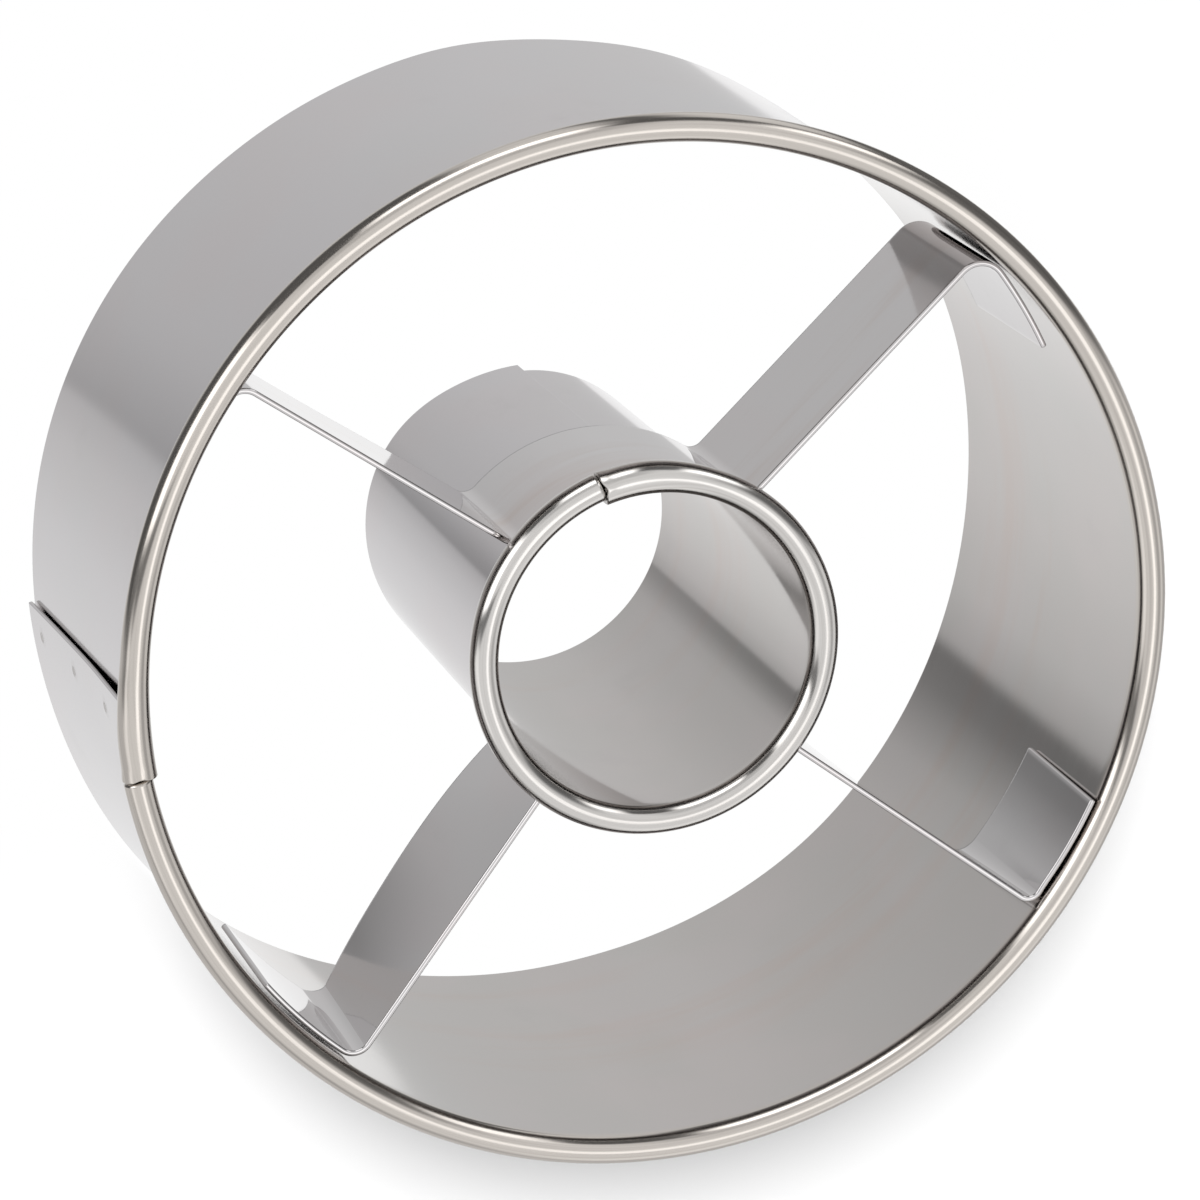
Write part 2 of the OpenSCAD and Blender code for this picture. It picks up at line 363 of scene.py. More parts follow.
def lift_at(radius, shift, turn):
    """Gap between a circle and a wider arc that touches it, at a turn in degrees from where they touch.

    The arc's radius is radius + shift, and its centre lies shift behind the circle's.
    """
    t = math.radians(turn)
    return math.sqrt((radius + shift) ** 2 - (shift * math.sin(t)) ** 2) - shift * math.cos(t) - radius


def band_sizes(own, sizes):
    """Lengths of a band that follow from its settings.

    shift is such that the arc has lifted off the circle by a layer and its gap where the lead ends.
    """
    radius = own.wall_d / 2 - sizes.thick
    stack = sizes.thick + sizes.seam_gap
    lead = math.degrees(own.lead)
    turn = lead + math.degrees(own.lap / radius)
    shift = stack * (radius + stack / 2) / (radius - (radius + stack) * math.cos(own.lead))
    lift = lift_at(radius, shift, turn)
    end = (radius + lift) * unit(turn)
    sleeve_r = sizes.bead_d / 2 + sizes.thick / 2
    return {
        "radius": radius,
        "shift": shift,
        "frame": math.degrees(own.seam) + turn,
        "outer": math.atan2(end[1], end[0] + shift) * (radius + shift),
        "inner": (math.radians(360 - lead) - sizes.sleeve_gap / radius) * radius,
        "lift": lift,
        "sleeve_r": sleeve_r,
        "tucked_r": sleeve_r - (stack + lift) / 2,
        "rim": sizes.height - sizes.bead_d / 2,
    }


def curl_radius(own, sizes, b, along, total):
    """Radius of the rim's curl: the bead's, more in the sleeve at one end, and less at the tucked end."""
    shoulder, lip_height, lip_run = 0.14 * MM, 0.06 * MM, 1.2 * MM
    bead = sizes.bead_d / 2
    mouth = own.lap - sizes.sleeve_gap
    tucked = b["tucked_r"] - sizes.sleeve_play
    radius = tucked + (bead - tucked) * smooth((along - mouth) / shoulder)
    to_end = total - along
    flare = smooth((sizes.sleeve_flare + own.lap / 2 - to_end) / sizes.sleeve_flare)
    lip = lip_height * smooth(1 - to_end / lip_run)
    return radius + (b["sleeve_r"] - bead) * flare + lip


def band_section(own, sizes, b, along, total):
    """The middle line of the strip's section at each place along it: radial place, height, normal and run.

    A wall, and then a circle outside it that starts at its top and stops short of it below:
    r = R + (R - t / 2) cos a, z = rim + (R - t / 2) sin a, for a from 180 degrees down over the top.
    """
    t = sizes.thick
    curl_r = curl_radius(own, sizes, b, along, total)

    # The curl stops where the wall is, and sooner at the sleeve, which has the other end's wall inside it
    ahead, ease = 0.5 * MM, 3 * MM
    wide = smooth((own.lap + ahead + ease - (total - along)) / ease)
    stack = t + sizes.seam_gap + b["lift"] * wide
    stop = np.arccos(1 - (stack + sizes.seam_gap * wide) / curl_r) + sizes.edge / curl_r

    # Places up the wall in millimetres, closer together at the cutting edge
    rim = b["rim"] / MM
    wall = np.concatenate([[0, 0.1, 0.3, 0.7], np.linspace(1.8, rim - 0.8, 24), [rim]])
    wall = sizes.edge + (b["rim"] - sizes.edge) * wall[None, :] / rim + 0 * along
    turn = np.pi - np.linspace(0, 1, CURL_STEPS + 1)[None, 1:] * (2 * np.pi - stop)
    half = curl_r - t / 2
    r = np.concatenate([0 * wall + t / 2, curl_r + half * np.cos(turn)], axis=1)
    z = np.concatenate([wall, b["rim"] + half * np.sin(turn)], axis=1)
    normal_r = np.concatenate([1 + 0 * wall, -np.cos(turn)], axis=1)
    normal_z = np.concatenate([0 * wall, -np.sin(turn)], axis=1)
    run = np.concatenate([wall, b["rim"] + half * (np.pi - turn)], axis=1)
    return r, z, normal_r, normal_z, run


def band(name, own, sizes, place_fault):
    """A strip rolled into a band with a curled rim, as the sweep of its section along the strip.

    The strip's place s runs from the seam's outer edge: first along an arc of radius + shift about a centre
    shift behind the band's, and then along the band's circle to the inner end under the outer one.
    """
    b = band_sizes(own, sizes)
    total = b["outer"] + b["inner"]

    # Rows lie closer at both ends of the shoulder where the curl leaves the sleeve
    mouth = own.lap - sizes.sleeve_gap
    along = graded(total - 2 * sizes.edge, own.row, mouth, mouth + 0.15 * MM)[:, None] + sizes.edge
    r, z, normal_r, normal_z, run = band_section(own, sizes, b, along, total)
    low = 1 - np.clip(z / b["rim"], 0, 1)

    # The strip's end isn't cut quite square, and the sleeve's mouth has a nick a little past the curl's top
    near_seam = smooth(1 - along / (3 * own.lap))
    lean = own.slant * low * near_seam
    top = b["rim"] + (b["sleeve_r"] - sizes.thick / 2) * np.radians(99)
    nick_width, nick_length = 0.55 * MM, 1.1 * MM
    in_curl = smooth((run - b["rim"]) / MM)
    nick = own.nick * hill((run - top) / nick_width) * hill((total - along) / nick_length) * in_curl
    s = along + lean - nick
    outer = np.minimum(s, b["outer"])
    outer_turn = (outer - b["outer"]) / (b["radius"] + b["shift"])
    inner_turn = np.maximum(s - b["outer"], 0) / b["radius"]
    turn = outer_turn + inner_turn
    spread = np.degrees(turn) + b["frame"]

    # The seam's outer corner gapes: most in the wall's upper half, but not right under the rim
    gape_from, gape_rise, gape_fall, gape_run = 20 * MM, 20 * MM, 2.6 * MM, 9 * MM
    opens = smooth((z - gape_from) / gape_rise) * smooth((b["rim"] - z) / gape_fall)
    gape = own.gape * smooth(1 - s / gape_run) * opens
    off = own.uneven * place_fault(spread, low) + gape * (run < b["rim"])
    centre = np.where(s < b["outer"], -b["shift"], 0)
    reach = b["radius"] - centre + r + off
    away = unit(np.degrees(turn))
    flat = away * reach[..., None] + np.stack([centre, 0 * centre], axis=-1)

    # The foot's tilt fades out up the wall
    c, d = unit(b["frame"])
    spin = np.array([[c, d], [-d, c]])
    shear = np.stack(np.broadcast_arrays(own.tilt_x, own.tilt_y), axis=-1) * (low ** 1.6)[..., None]
    middle = np.concatenate([flat @ spin + shear, z[..., None]], axis=-1)
    normal = np.concatenate([(away @ spin) * normal_r[..., None], normal_z[..., None]], axis=-1)
    uv = np.stack([along + 0 * run, run], axis=-1)
    return sheet(name, middle, normal, uv, sizes.thick, sizes.edge)


# Where use has pressed the ring's cutting edge off its circle: direction, width in degrees, millimetres out
FOOT_BULGES = (
    (20, 21, 1.18),
    (62, 12, 0.36),
    (90, 9, 0.22),
    (120, 18, -0.20),
    (172, 28, 0.45),
    (219, 28, 2.02),
    (272, 9, -0.10),
    (304, 17, 0.31),
)


def ring_fault(direction, low):
    """How far the ring's wall strays outwards. low goes from 0 at the rim to 1 at the foot.

    The foot's bulges are hills that fade upwards. Slight waves, three and eight to the turn, lie over them.
    """
    foot = 0
    for toward, width, out in FOOT_BULGES:
        gap = np.mod(direction - toward + 180, 360) - 180
        foot = foot + out * hill(gap / width)
    waves = 0.055 * np.sin(np.radians(3 * direction + 40)) + 0.03 * np.sin(np.radians(8 * direction))
    return MM * (foot * low ** 1.7 + waves * low * (1 - low) * 2)


def tube_fault(direction, low):
    """How far the tube's wall strays outwards: an oval foot, and a hollow where a strap presses its lap."""
    strap_at, width = 103, 30
    pressed = (0.3 * smooth(low * 12) + 0.35 * low) * hill((np.mod(direction, 360) - strap_at) / width)
    return MM * (-0.15 * np.sin(np.radians(2 * direction)) * low ** 2 - pressed)


def half_path(strap, which, sizes, wrap_r, wall_r):
    """One half of a strap's middle line, from the strap's middle to a tab's end.

    The line is made of arcs and a straight piece, each with a length and a turn: round the tube, out of it,
    along the spoke, round to the ring's wall and along it. After a share u of a piece of length l and turn t
    the place is start + u l sinc(u t / 2) (cos, sin)(heading + u t / 2). Gives the places, the headings, the
    runs, how far the strap's foot and its top stand aside, and how far it is lifted.
    """
    toward, offset, tube_bend, tab_bend, tab, spring, lean, bow, rise, tip = (
        getattr(strap, f"{which}_{key}" if key else which)
        for key in ("", "offset", "tube", "bend", "tab", "spring", "lean", "bow", "rise", "tip"))
    sign = 1 if which == "last" else -1
    half = math.degrees(toward - strap.middle) * sign
    tab_r = wall_r - sizes.seat_gap - sizes.thick / 2
    near = math.sqrt((wrap_r + tube_bend) ** 2 - (offset + tube_bend) ** 2)
    far = math.sqrt((tab_r - tab_bend) ** 2 - (tab_bend - offset) ** 2)
    wrap = half - math.degrees(math.atan2(offset + tube_bend, near))
    lands = half + math.degrees(math.atan2(tab_bend - offset, far))
    back = wrap + 90 - half
    round_tab = lands + 90 - half + math.degrees(spring)
    pieces = (
        (wrap_r * math.radians(wrap), wrap),
        (tube_bend * math.radians(back), -back),
        (far - near, 0),
        (tab_bend * math.radians(round_tab), round_tab),
        (tab - sizes.edge, math.degrees(tab / tab_r)),
    )
    place, facing, run = np.array([wrap_r, 0.0]), 90.0, 0.0
    places, facings, runs, corners = [], [], [], []
    for (size, turn), steps in zip(pieces, STRAP_STEPS):
        u = np.linspace(0, 1, steps + 1)[:, None]
        x = u * turn / 2
        spots = place + u * size * np.sinc(x / 180) * unit(facing + x[:, 0])
        places.append(spots[:-1])
        facings.append(facing + 2 * x[:-1, 0])
        runs.append(run + u[:-1, 0] * size)
        place, facing, run = spots[-1], facing + turn, run + size
        corners.append(run)
    places = np.concatenate(places + [place[None]]) * [1, sign]
    facings = np.concatenate(facings + [[facing]]) * sign
    runs = np.concatenate(runs + [[run]])

    # The foot's lean grows along the spoke and ends at the tab, and its bow is a parabola over the spoke
    spoke_start, spoke_end = corners[1:3]
    settle = 3 * MM
    spoke = (runs - spoke_start) / (spoke_end - spoke_start)
    past = smooth((runs - spoke_end) / settle)
    inner = np.clip(spoke, 0, 1)
    foot = lean * smooth(spoke * 1.4) * (1 - past) + bow * 4 * inner * (1 - inner)
    foot = foot[:, None] * unit(half * sign + 90)
    top = (tip * past)[:, None] * normed(-places)
    lifted = rise * np.maximum(runs - spoke_start, 0) / (run - spoke_start)
    return places, facings + (0 if sign > 0 else 180), runs * sign, foot, top, lifted


def bent_strap(name, strap, sizes, wrap_r, wall_r, foot, top):
    """A flat strap bent along a line in plan: the line's points at every height of the strap.

    The points stand aside by the foot's share of the way down and the top's share of the way up.
    """
    halves = (half_path(strap, which, sizes, wrap_r, wall_r) for which in ("first", "last"))
    places, facings, runs, low, high, lifted = (np.concatenate([a[:0:-1], b]) for a, b in zip(*halves))
    turned = unit(math.degrees(strap.middle))
    spin = np.array([[turned[0], turned[1]], [-turned[1], turned[0]]])
    across = unit(facings + math.degrees(strap.middle) + 90)
    middle = np.zeros((len(places), len(STRAP_ROWS), 3))
    up = STRAP_ROWS[:, None]
    middle[..., :2] = (places[:, None] + low[:, None] * (1 - up) + high[:, None] * up) @ spin
    height = foot + sizes.edge + (top - foot - 2 * sizes.edge) * STRAP_ROWS
    middle[..., 2] = height + lifted[:, None]
    normal = np.zeros_like(middle)
    normal[..., :2] = across[:, None]
    uv = np.stack(np.broadcast_arrays(runs[:, None], height - foot), axis=-1)
    return sheet(name, middle, normal, uv, sizes.thick, sizes.edge)


class Wire:
    """A socket whose arithmetic adds Math nodes."""

    def __init__(self, shop, socket):
        self.shop = shop
        self.socket = socket

    def math(self, operation, *others):
        values = dict(enumerate((self,) + others))
        return self.shop.node("ShaderNodeMath", {"operation": operation}, values)

    def __add__(self, other):
        return self.math("ADD", other)

    __radd__ = __add__

    def __mul__(self, other):
        return self.math("MULTIPLY", other)

    __rmul__ = __mul__

    def __sub__(self, other):
        return self.math("SUBTRACT", other)

    def __rsub__(self, other):
        return self.math("MULTIPLY_ADD", -1.0, other)

    def __truediv__(self, other):
        return self.math("DIVIDE", other)

    def at_most(self, other):
        return self.math("MINIMUM", other)

    def at_least(self, other):
        return self.math("MAXIMUM", other)

    def step(self, low, high):
        """0 below low and 1 above high, with level ends."""
        return self.shop.node("ShaderNodeMapRange", {"interpolation_type": "SMOOTHSTEP"},
                              {"Value": self, "From Min": low, "From Max": high})


class Shop:
    """Adds nodes to one tree."""

    def __init__(self, tree):
        self.tree = tree
        tree.nodes.clear()

    def node(self, kind, settings=None, values=None, out=0):
        """A node of a kind: its settings first, then its sockets' values or links. Gives the socket out."""
        made = self.tree.nodes.new(kind)
        for key, value in (settings or {}).items():
            if key == "stops":
                self.fill(made.color_ramp.elements, value)
            else:
                setattr(made, key, value)
        for key, value in (values or {}).items():
            if isinstance(value, Wire):
                self.tree.links.new(value.socket, made.inputs[key])
            else:
                made.inputs[key].default_value = value
        return Wire(self, made.outputs[out]) if made.outputs else made

    def fill(self, elements, stops):
        """Sets a ramp's places and colours. The first place is 0 and the last is 1."""
        for place, value in stops[1:-1]:
            elements.new(place).color = value
        elements[0].color = stops[0][1]
        elements[-1].color = stops[-1][1]

    def axes(self, vector):
        """The three numbers of a vector."""
        split = self.node("ShaderNodeSeparateXYZ", {}, {0: vector})
        return [Wire(self, socket) for socket in split.socket.node.outputs]

    def blend(self, factor, first, second):
        """The first colour where the factor is 0, the second where it is 1."""
        return self.node("ShaderNodeMix", {"data_type": "RGBA"}, {0: factor, 6: first, 7: second}, 2)

    def noise(self, place, scale, detail, rough):
        """Noise over a place, with its own scale along each axis."""
        scaled = self.node("ShaderNodeMapping", {}, {"Vector": place, "Scale": scale})
        return self.node("ShaderNodeTexNoise", {}, {
            "Vector": scaled, "Scale": 1.0, "Detail": detail, "Roughness": rough})

    def emission(self):
        """Plain white light."""
        return self.node("ShaderNodeEmission", {}, {"Color": WHITE, "Strength": 1.0})


def new_material(name):
    """A new material, and the shop for its nodes."""
    material = bpy.data.materials.new(name)
    material.use_nodes = True
    return material, Shop(material.node_tree)


def rgba(value):
    """A colour property's value as a socket takes it."""
    return tuple(value) + (1.0,)


def steel(name, finish, inside, outside, roughness, stretch, parts):
    """Rolled stainless sheet: grain along the strip, faint mottling and handling marks, and a painted warm
    reflection low on the inner face.

    inside and outside colour the face away from the normal and the one on its side. parts adds what only one
    piece has: it takes the shop, the strip's UV, its two coordinates in millimetres, the outer face's mask,
    the colour and the roughness, and gives the colour, the roughness and a height in millimetres.
    """
    material, shop = new_material(name)
    strip = shop.node("ShaderNodeUVMap", {"uv_map": "Sheet"})
    u, v = (axis * 1000.0 for axis in shop.axes(strip)[:2])

    # The outer face's first coordinate is 1 more, which is 1000 in millimetres
    outer = u.step(480.0, 520.0)
    u = u - outer * 1000.0
    solid = shop.node("ShaderNodeTexCoord", {}, {}, "Object")

    grain = shop.noise(strip, (45.0, 2400.0, 1.0), 4.0, 0.6)
    mottle = shop.noise(solid, (42.0, 42.0, 25.2), 3.0, 0.5)
    patches = shop.noise(solid, (75.0, 75.0, 52.5), 2.0, 0.5).step(0.42, 0.62)
    marks = shop.noise(solid, (95.0, 95.0, 66.5), 5.0, 0.62).step(0.58, 0.76)
    scuffs = shop.noise(strip, (260.0, 2600.0, 1.0), 2.0, 0.5).step(0.66, 0.76)
    # Warm clouds low on the inner face: a painted warm reflection
    clouds = shop.noise(strip, (16.0, 130.0, 1.0), 4.0, 0.6).step(0.45, 0.68)
    clouds = clouds * v.step(2.0, 9.0) * (1.0 - v.step(18.0, 36.0)) * (1.0 - outer)

    base = shop.blend(outer, rgba(inside), rgba(outside))
    base = shop.blend(clouds * 0.75, base, rgba(finish.warm_reflection))
    base = shop.blend(patches * 0.22, base, rgba(finish.warm))
    base = shop.blend(mottle.step(0.5, 0.7) * 0.16, base, rgba(finish.cool))
    base = shop.blend(marks * 0.2 + scuffs * 0.12, base, rgba(finish.smudge))
    rough = (grain - 0.5) * 0.05 + roughness + marks * 0.03 + (mottle - 0.5) * 0.04
    height = (grain - 0.5) * 0.0007 + (mottle - 0.5) * 0.02
    base, rough, added = parts(shop, strip, u, v, outer, base, rough)
    bump = shop.node("ShaderNodeBump", {}, {"Strength": 1.0, "Distance": MM, "Height": height + added})
    shader = shop.node("ShaderNodeBsdfPrincipled", {}, {
        "Base Color": base, "Metallic": 1.0, "Roughness": rough, "Normal": bump,
        "Anisotropic": stretch, "Anisotropic Rotation": 0.25})
    shop.node("ShaderNodeOutputMaterial", {}, {0: shader})
    return material


def weld_marks(u, v, places, radius):
    """Masks for the dimple of a weld at each place, and for the dimple with the halo round it."""
    nearest = None
    for x, y in places:
        away = ((u - x) * (u - x) + (v - y) * (v - y)).math("SQRT")
        nearest = away if nearest is None else nearest.at_most(away)
    dent = 1.0 - nearest.step(0.55 * radius, radius)
    halo = 1.0 - nearest.step(radius, 2.1 * radius)
    return dent, halo


def bring(piece, material, node):
    """Gives a piece its material and its place in the frame, where it stands for a CAD node."""
    piece.data.materials.append(material)
    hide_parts(node)
    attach(piece, "root")


class CUTTER_OT_ring(bpy.types.Operator):
    """Make the outer band"""

    bl_idname = "cutter.ring"
    bl_label = "Outer band"

    def execute(self, context):
        scene = context.scene
        own, sizes, finish = scene.cutter_ring, scene.cutter_sheet, scene.cutter_finish
        piece = band("ring_band", own, sizes, ring_fault)
        material = band_steel("ring_steel_rolled", own, sizes, finish, finish.bead, True)
        bring(piece, material, "outer_ring")
        return {"FINISHED"}


class CUTTER_OT_tube(bpy.types.Operator):
    """Make the inner band"""

    bl_idname = "cutter.tube"
    bl_label = "Inner band"

    def execute(self, context):
        scene = context.scene
        own, sizes, finish = scene.cutter_tube, scene.cutter_sheet, scene.cutter_finish
        piece = band("tube_band", own, sizes, tube_fault)
        material = band_steel("tube_steel_rolled", own, sizes, finish, finish.tube_bead, False)
        bring(piece, material, "centre_tube")
        return {"FINISHED"}


def band_steel(name, own, sizes, finish, bead, welded):
    """The bands' steel: drawn lines and a warmer tone on the rim, and the seam's welds where they show."""
    rim = (sizes.height - sizes.bead_d / 2) / MM
    heights = [(sizes.first_weld + sizes.weld_pitch * k) / MM for k in range(sizes.weld_count)]
    places = [(own.lap / 2 / MM, height) for height in heights]

    def parts(shop, strip, u, v, outer, base, rough):
        on_rim = v.step(rim - 0.8, rim + 0.4)
        lines = shop.noise(strip, (9.0, 3300.0, 1.0), 3.0, 0.55)
        wide = shop.noise(strip, (26.0, 900.0, 1.0), 2.0, 0.5)
        base = shop.blend(on_rim, base, rgba(bead))
        base = shop.blend(on_rim * lines.step(0.45, 0.70) * 0.45, base, rgba(finish.drawn))
        rough = rough + on_rim * (finish.bead_roughness - finish.roughness)
        rough = rough + (v / rim).at_most(1.0) * finish.haze - finish.haze * 0.5
        height = on_rim * ((lines - 0.5) * 0.0042 + (wide - 0.5) * 0.01) * finish.grain
        if welded:
            dent, halo = (mark * outer for mark in weld_marks(u, v, places, sizes.weld_d / 2 / MM))
            base = shop.blend(dent * 0.6 + halo * 0.2, base, rgba(finish.weld))
            height = height + halo * 0.015 - dent * 0.05
            rough = rough + dent * 0.12
        return base, rough, height

    return steel(name, finish, finish.inside, finish.outside, finish.roughness, finish.stretch, parts)


def strap_steel(name, finish):
    """The straps' steel: sheared edges, and on the lower edge a burr's roughness and bump under a painted
    dark line of gap shade.
    """
    width = (STRAP_TOP - STRAP_FOOT) / MM

    def parts(shop, strip, u, v, outer, base, rough):
        # Along the lower edge: painted gap shade in the colour, and a burr in the roughness and bump
        gap_shade_and_burr = 1.0 - v.step(0.1, 0.3)
        cut = v.step(width - 0.14, width - 0.03) + gap_shade_and_burr
        base = shop.blend(gap_shade_and_burr * 0.85, base, rgba(finish.gap_shade_and_burr))
        return base, rough + cut * 0.12, gap_shade_and_burr * -0.03

    tone = finish.strap
    return steel(name, finish, tone, tone, finish.strap_roughness, finish.strap_stretch, parts)


class CUTTER_OT_straps(bpy.types.Operator):
    """Make both straps"""

    bl_idname = "cutter.straps"
    bl_label = "Straps"

    def execute(self, context):
        scene = context.scene
        sizes, bands, finish = scene.cutter_straps, scene.cutter_sheet, scene.cutter_finish
        wall_r = scene.cutter_ring.wall_d / 2 - bands.thick
        tube = scene.cutter_tube.wall_d / 2 + sizes.seat_gap + sizes.thick / 2
        lift = band_sizes(scene.cutter_tube, bands)["lift"]
        for node, strap, seat in (
                ("upper_strap", scene.cutter_upper, tube + lift - sizes.press),
                ("lower_strap", scene.cutter_lower, tube)):
            piece = bent_strap(node + "_bent", strap, sizes, seat, wall_r, STRAP_FOOT, STRAP_TOP)
            bring(piece, strap_steel(node + "_bent_steel", finish), node)
        return {"FINISHED"}


def stage_piece(name, points, faces, material):
    """A floor or backdrop, which isn't part of the cutter."""
    mesh = bpy.data.meshes.new(name)
    mesh.from_pydata(points.tolist(), [], faces)
    mesh.materials.append(material)
    piece = bpy.data.objects.new(name, mesh)
    bpy.context.scene.collection.objects.link(piece)
    return piece


class CUTTER_OT_studio(bpy.types.Operator):
    """Make the floor, the light and the camera"""

    bl_idname = "cutter.studio"
    bl_label = "Studio"

    def execute(self, context):
        scene = context.scene
        own = scene.cutter_studio
        here = np.arange(STAGE_SIDES)
        ahead = np.roll(here, -1)
        foot = np.pad(unit(here * 360 / STAGE_SIDES) * own.floor, ((0, 0), (0, 1)))
        floor = stage_piece("floor", foot, [here.tolist()], floor_white(own, scene.cutter_ring.wall_d / 2))
        wall = np.concatenate([foot, foot + [0, 0, 2 * own.floor]])
        faces = np.stack([here, here + STAGE_SIDES, ahead + STAGE_SIDES, ahead], axis=-1)
        backdrop = stage_piece("backdrop", wall, faces.tolist(), white_paper())
        backdrop.visible_diffuse = False
        for each in (floor, backdrop):
            each.visible_glossy = False
            each.visible_shadow = False

        world = bpy.data.worlds.new("white_tent")
        scene.world = world
        world.use_nodes = True
        tent(world.node_tree, own)

        lamp = bpy.data.lights.new("key", "SUN")
        lamp.energy = own.key
        lamp.angle = own.key_size
        key = bpy.data.objects.new("key", lamp)
        key.rotation_euler = Vector(own.key_from).to_track_quat("Z", "Y").to_euler()
        key.visible_glossy = False
        scene.collection.objects.link(key)

        lens = bpy.data.cameras.new("camera")
        lens.lens = own.lens
        lens.sensor_width = 36.0
        lens.clip_start = 0.01
        lens.clip_end = 20.0
        camera = bpy.data.objects.new("camera", lens)
        back, up = -Vector(own.forward).normalized(), Vector(own.upward).normalized()
        axes = Matrix((up.cross(back), up, back)).transposed().to_4x4()
        camera.matrix_world = Matrix.Translation(own.camera) @ axes
        scene.collection.objects.link(camera)
        scene.camera = camera
        scene.view_settings.view_transform = "Standard"
        return {"FINISHED"}


# Where the ring's foot swells past its circle: direction, share of the radius, cosine where the swelling ends
FOOT_SWELLS = ((218, 0.047, 0.74), (18, 0.030, 0.90))


def floor_white(own, ring_r):
    """A white floor that keeps the cutter's shadow on the side away from the lamp, and is plain elsewhere."""
    material, shop = new_material("floor_white")
    x, y = shop.axes(shop.node("ShaderNodeTexCoord", {}, {}, "Object"))[:2]
    run = (x * x + y * y).math("SQRT")
    past = run / ring_r
    for direction, swell, ends in FOOT_SWELLS:
        c, s = unit(direction)
        past = past - ((x * c + y * s) / run).step(ends, 1.0) * swell

    # Plain white inside the cutter, and on the side that faces the lamp
    outside = past.step(1.0, 1.02)
    aside = ((x * 0.5 - y) / ring_r).step(-0.15, 0.5)
    lit = shop.node("ShaderNodeBsdfDiffuse", {}, {"Color": rgba([own.floor_tone] * 3)})
    mixed = shop.node("ShaderNodeMixShader", {}, {0: outside * aside, 1: shop.emission(), 2: lit})
    shop.node("ShaderNodeOutputMaterial", {}, {0: mixed})
    return material


def white_paper():
    """The backdrop's plain white."""
    material, shop = new_material("backdrop_white")
    shop.node("ShaderNodeOutputMaterial", {}, {0: shop.emission()})
    return material


# The table and the drop behind it by direction: degrees, and brightness seen steeply down and less so
GROUND = (
    (0, 0.64, 0.68),
    (45, 0.69, 0.715),
    (75, 0.68, 0.70),
    (120, 0.63, 0.61),
    (140, 0.615, 0.58),
    (150, 0.59, 0.52),
    (165, 0.53, 0.22),
    (172.8, 0.48, 0.18),
    (175.2, 0.61, 0.53),
    (187, 0.69, 0.70),
    (210, 0.79, 0.82),
    (228, 0.82, 0.86),
    (250, 0.83, 0.86),
    (280, 0.86, 0.90),
    (300, 0.95, 1.0),
    (345.5, 0.98, 1.0),
    (348.5, 0.65, 0.69),
    (360, 0.64, 0.68),
)

# The studio that the steel mirrors, each over the one before: name, middle direction and half width in
# degrees, lowest and highest sine of the elevation, softness in degrees and in sine, and brightness
PANELS = (
    ("far table", 225, 70, -0.80, 0.05, 14, 0.07, 0.70),
    ("near edge of the table", 315, 38, -0.80, 0.02, 10, 0.06, 0.60),
    ("dark room past the drop", 95, 88, -0.80, 0.50, 6, 0.05, 0.12),
    ("gap over the drop", 84, 10, -0.80, 0.10, 5, 0.05, 0.80),
    ("side window low", 50, 11, -0.80, 0.00, 6, 0.08, 0.85),
    ("top softbox", 92, 17, 0.14, 0.50, 5, 0.06, 2.70),
    ("shade over it", 92, 30, 0.55, 0.80, 8, 0.06, 0.60),
    ("left softbox", 152, 18, 0.12, 0.62, 5, 0.08, 2.30),
    ("right window", 38, 9, 0.16, 0.52, 5, 0.06, 2.10),
    ("stand", 176, 7, -0.20, 0.92, 4, 0.06, 0.20),
    ("dark doorway", 14, 14, -0.70, 0.72, 8, 0.16, 0.16),
    ("left reflector", 200, 18, 0.20, 0.50, 8, 0.08, 1.25),
    ("low left shade", 240, 34, -0.04, 0.26, 14, 0.12, 0.50),
    ("right shade", 338, 16, 0.42, 0.74, 8, 0.08, 0.52),
    ("front reflector", 290, 20, 0.05, 0.40, 10, 0.10, 1.05),
    ("overhead window", 308, 30, 0.885, 1.20, 10, 0.015, 1.65),
)


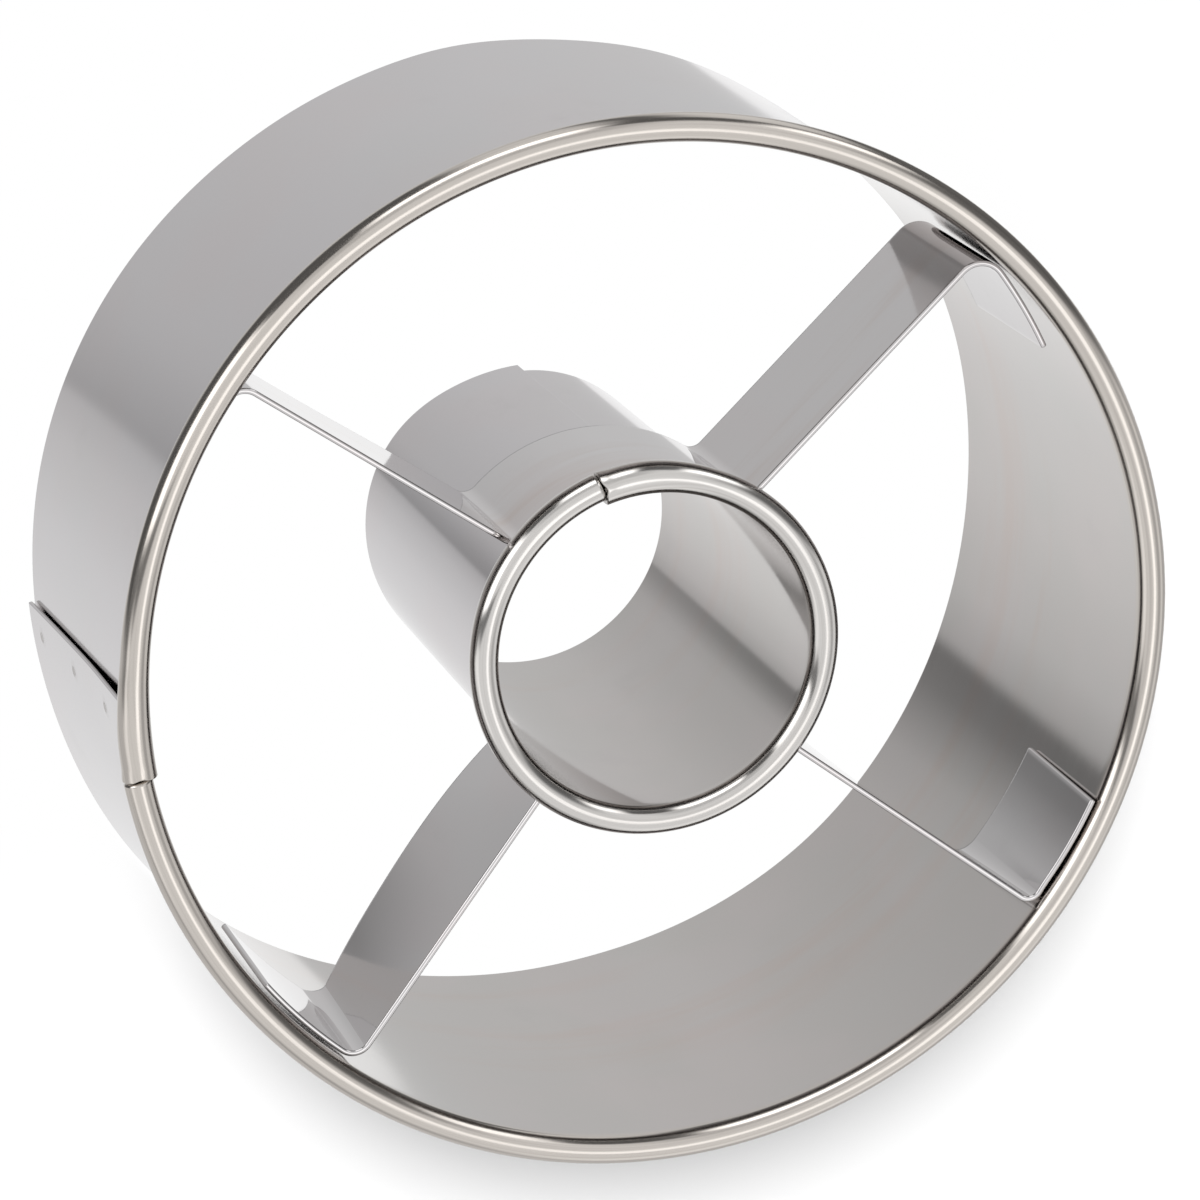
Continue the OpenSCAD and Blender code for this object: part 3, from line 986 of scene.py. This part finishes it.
def tent(tree, own):
    """The studio by direction: a white tent above, the table and the drop below, and the panels over them.

    The table's dark left edge runs askew: seen steeply down it lies 6 degrees further round.
    """
    shop = Shop(tree)
    x, y, z = shop.axes(shop.node("ShaderNodeTexCoord", {}, {}, "Generated"))
    flat = (x * x + y * y).math("SQRT").at_least(0.001)
    askew = (1.0 - z.step(-0.947, -0.934)) * (6 / 360)
    turn = (y.math("ARCTAN2", x) * (0.5 / math.pi) - askew).math("FRACT")
    stops = [(degrees / 360, (steep, slant, 0.0, 1.0)) for degrees, steep, slant in GROUND]
    ground = shop.node("ShaderNodeValToRGB", {"stops": stops}, {0: turn})
    steep, slant, _ = shop.axes(ground)
    nearer = z.step(-0.955, -0.88)
    light = (steep * (1.0 - nearer) + slant * nearer) * own.ground
    up = z.step(-0.1, 0.1)
    light = light * (1.0 - up) + up * own.tent
    for _, toward, half, bottom, top, soft, fade, tone in PANELS:
        c, s = unit(toward)
        near = (x * c + y * s) / flat
        wide = near.step(math.cos(math.radians(min(half + soft, 180))), math.cos(math.radians(half - soft)))
        tall = z.step(bottom - fade, bottom + fade) * (1.0 - z.step(top - fade, top + fade))
        mask = wide * tall
        light = light * (1.0 - mask) + mask * tone
    sky = shop.node("ShaderNodeBackground", {}, {"Color": WHITE, "Strength": light})
    shop.node("ShaderNodeOutputWorld", {}, {0: sky})


class CUTTER_PT_panel(bpy.types.Panel):
    """The cutter's steps and sizes."""

    bl_idname = "CUTTER_PT_panel"
    bl_label = "Doughnut cutter"
    bl_space_type = "VIEW_3D"
    bl_region_type = "UI"
    bl_category = "Cutter"

    def draw(self, context):
        layout = self.layout
        for step in STEPS:
            layout.operator(step.bl_idname)
        for name, group in SETTINGS.items():
            box = layout.box()
            box.label(text=group.__doc__)
            for key in group.__annotations__:
                box.prop(getattr(context.scene, name), key)


SETTINGS = {
    "cutter_sheet": SheetSizes,
    "cutter_ring": RingSizes,
    "cutter_tube": TubeSizes,
    "cutter_straps": StrapSizes,
    "cutter_upper": UpperStrap,
    "cutter_lower": LowerStrap,
    "cutter_finish": SteelFinish,
    "cutter_studio": StudioSettings,
}
STEPS = (CUTTER_OT_ring, CUTTER_OT_tube, CUTTER_OT_straps, CUTTER_OT_studio)


def register():
    for group in SETTINGS.values():
        bpy.utils.register_class(group)
    for step in STEPS + (CUTTER_PT_panel,):
        bpy.utils.register_class(step)
    for name, group in SETTINGS.items():
        setattr(bpy.types.Scene, name, bpy.props.PointerProperty(type=group))


def unregister():
    for name in SETTINGS:
        delattr(bpy.types.Scene, name)
    for step in STEPS + (CUTTER_PT_panel,):
        bpy.utils.unregister_class(step)
    for group in SETTINGS.values():
        bpy.utils.unregister_class(group)


def main():
    register()
    bpy.ops.cutter.ring()
    bpy.ops.cutter.tube()
    bpy.ops.cutter.straps()
    bpy.ops.cutter.studio()


if __name__ == "__main__":
    main()
